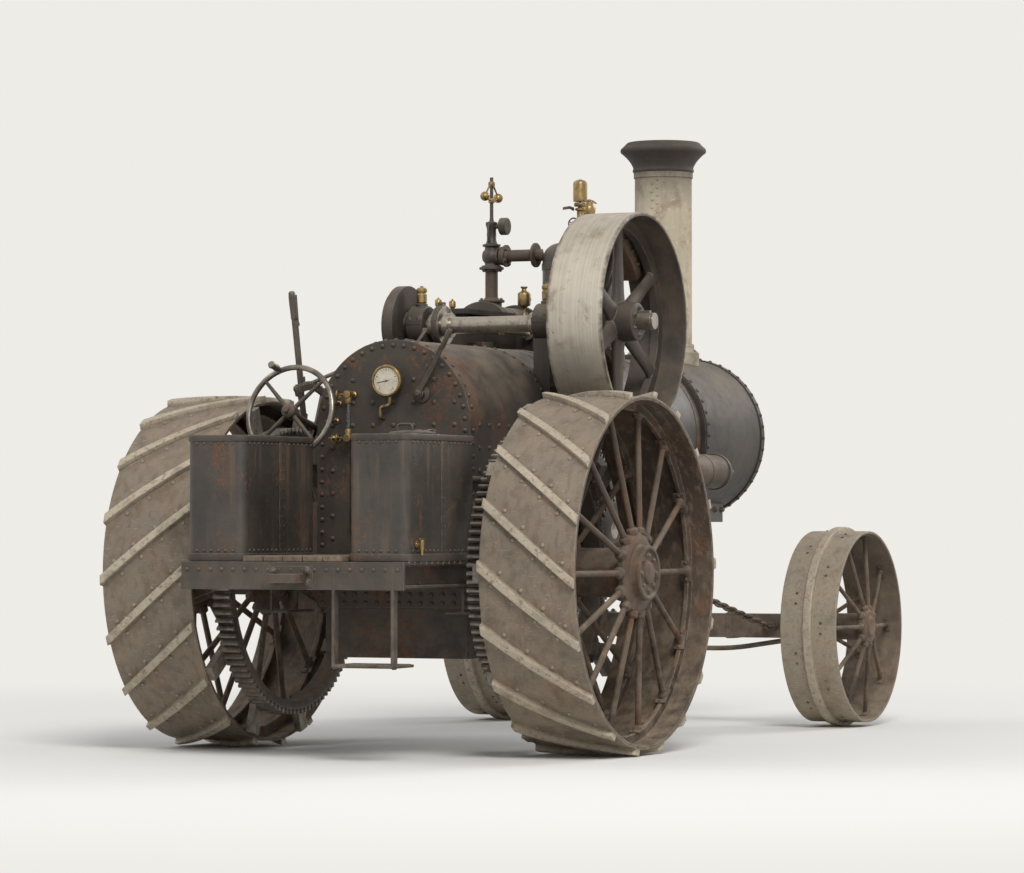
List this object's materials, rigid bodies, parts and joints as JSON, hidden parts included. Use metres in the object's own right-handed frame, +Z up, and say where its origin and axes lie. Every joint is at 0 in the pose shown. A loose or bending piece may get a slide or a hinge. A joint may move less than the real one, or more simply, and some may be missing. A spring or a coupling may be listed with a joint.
{
  "type": "steam traction engine",
  "caption": "Self-moving farm steam engine with a tall stack, horizontal boiler, broad belt wheel, geared lugged rear wheels and chain-steered front axle.",
  "frame": {"origin": "on the ground under the middle of the engine's length and width", "axes": "+X forward to the smokebox and stack, +Y to the engine's left, +Z up"},
  "size_m": [4.895, 2.408, 3.05],
  "materials": {
    "smokebox_iron": "matte, sooty black",
    "stack_ash": "matte, ash-grey scorched paint",
    "cap_iron": "rough, sooty",
    "lagging_black": "satin black, dusty",
    "boiler_plate": "matte black, rusty",
    "cast_iron_dark": "rough",
    "brass": "dull, tarnished",
    "bright_steel": "oiled, worn bright",
    "belt_wheel_iron": "worn bright on the face",
    "gear_iron": "greasy",
    "pipe_iron": "matte",
    "wheel_iron": "worn, dusty and rusty",
    "plate_iron": "matte, worn and rusty"
  },
  "bodies": {
    "root": {"smokebox": "smokebox_iron", "stack": "stack_ash", "stack_cap": "cap_iron", "boiler_barrel": "lagging_black", "firebox": "boiler_plate", "ash_pan": "boiler_plate", "dome": "lagging_black", "dome_valves": "brass", "engine_cylinder": "lagging_black", "engine_frame": "cast_iron_dark", "crosshead_rod": "bright_steel", "governor": "cast_iron_dark", "steam_pipe": "pipe_iron", "exhaust_pipe": "pipe_iron", "water_heater": "pipe_iron", "feed_pipes": "pipe_iron", "reverse_lever": "cast_iron_dark", "shaft_brackets": "cast_iron_dark", "rear_axle": "cast_iron_dark", "front_pedestal": "cast_iron_dark", "steering_gear": "cast_iron_dark", "steering_column": "pipe_iron", "steering_chains": "pipe_iron", "platform": "plate_iron", "water_tank": "plate_iron", "fuel_bunker": "plate_iron", "backhead_fittings": "brass"},
    "smokebox_door": {"smokebox_door": "smokebox_iron"},
    "fire_door": {"fire_door": "cast_iron_dark"},
    "tank_lid": {"tank_lid": "plate_iron"},
    "governor_balls": {"governor_balls": "bright_steel"},
    "crankshaft": {"crankshaft": "bright_steel", "crank_disc": "cast_iron_dark", "flywheel": "belt_wheel_iron", "clutch_spider": "cast_iron_dark"},
    "clutch_pinion": {"clutch_pinion": "gear_iron"},
    "intermediate_gear": {"intermediate_gear": "gear_iron"},
    "differential_gear": {"differential_gear": "gear_iron"},
    "countershaft": {"countershaft": "bright_steel", "bull_pinion_left": "gear_iron"},
    "bull_pinion_right": {"bull_pinion_right": "gear_iron"},
    "rear_wheel_left": {"rear_rim_left": "wheel_iron", "rear_spokes_left": "wheel_iron", "bull_gear_left": "gear_iron"},
    "rear_wheel_right": {"rear_rim_right": "wheel_iron", "rear_spokes_right": "wheel_iron", "bull_gear_right": "gear_iron"},
    "front_axle": {"front_axle": "cast_iron_dark"},
    "front_wheel_left": {"front_rim_left": "wheel_iron", "front_spokes_left": "wheel_iron"},
    "front_wheel_right": {"front_rim_right": "wheel_iron", "front_spokes_right": "wheel_iron"}
  },
  "joints": [
    {"name": "crankshaft_turn", "type": "hinge", "parent": "root", "child": "crankshaft", "pos_m": [-0.3675, 0, 2], "axis": [0, 1, 0], "continuous": true},
    {"name": "clutch_pinion_turn", "type": "hinge", "parent": "root", "child": "clutch_pinion", "pos_m": [-0.3675, 0, 2], "axis": [0, 1, 0], "continuous": true},
    {"name": "intermediate_gear_turn", "type": "hinge", "parent": "root", "child": "intermediate_gear", "pos_m": [-0.20548, 0, 1.66179], "axis": [0, 1, 0], "continuous": true},
    {"name": "differential_gear_turn", "type": "hinge", "parent": "root", "child": "differential_gear", "pos_m": [-0.3601, 0, 1.015], "axis": [0, 1, 0], "continuous": true},
    {"name": "countershaft_turn", "type": "hinge", "parent": "root", "child": "countershaft", "pos_m": [-0.3601, 0, 1.015], "axis": [0, 1, 0], "continuous": true},
    {"name": "bull_pinion_right_turn", "type": "hinge", "parent": "root", "child": "bull_pinion_right", "pos_m": [-0.3601, 0, 1.015], "axis": [0, 1, 0], "continuous": true},
    {"name": "rear_wheel_left_turn", "type": "hinge", "parent": "root", "child": "rear_wheel_left", "pos_m": [-1.1475, 0, 0.825], "axis": [0, 1, 0], "continuous": true},
    {"name": "rear_wheel_right_turn", "type": "hinge", "parent": "root", "child": "rear_wheel_right", "pos_m": [-1.1475, 0, 0.825], "axis": [0, 1, 0], "continuous": true},
    {"name": "front_axle_steer", "type": "hinge", "parent": "root", "child": "front_axle", "pos_m": [1.9325, 0, 0.515], "axis": [0, 0, 1], "range_deg": [-28, 28], "deforming": ["steering_chains"]},
    {"name": "front_wheel_left_turn", "type": "hinge", "parent": "front_axle", "child": "front_wheel_left", "pos_m": [1.9325, 0, 0.515], "axis": [0, 1, 0], "continuous": true},
    {"name": "front_wheel_right_turn", "type": "hinge", "parent": "front_axle", "child": "front_wheel_right", "pos_m": [1.9325, 0, 0.515], "axis": [0, 1, 0], "continuous": true},
    {"name": "governor_spin", "type": "hinge", "parent": "root", "child": "governor_balls", "pos_m": [0.7025, 0.465, 2.7], "axis": [0, 0, 1], "continuous": true},
    {"name": "smokebox_door_hinge", "type": "hinge", "parent": "root", "child": "smokebox_door", "pos_m": [2.2345, 0.344, 1.5], "axis": [0, 0, 1], "range_deg": [0, 110]},
    {"name": "fire_door_hinge", "type": "hinge", "parent": "root", "child": "fire_door", "pos_m": [-1.3621, -0.22, 1.21], "axis": [0, 0, 1], "range_deg": [0, 90]},
    {"name": "tank_lid_hinge", "type": "hinge", "parent": "root", "child": "tank_lid", "pos_m": [-1.8275, 0, 1.456], "axis": [0, 1, 0], "range_deg": [0, 100]}
  ],
  "couplings": [
    {"joint": "intermediate_gear_turn", "follows": "differential_gear_turn", "ratio": -1.5094},
    {"joint": "clutch_pinion_turn", "follows": "differential_gear_turn", "ratio": 3.6364},
    {"joint": "countershaft_turn", "follows": "rear_wheel_left_turn", "ratio": -4.4},
    {"joint": "bull_pinion_right_turn", "follows": "rear_wheel_right_turn", "ratio": -4.4},
    {"joint": "governor_spin", "follows": "crankshaft_turn", "ratio": 1.4}
  ]
}
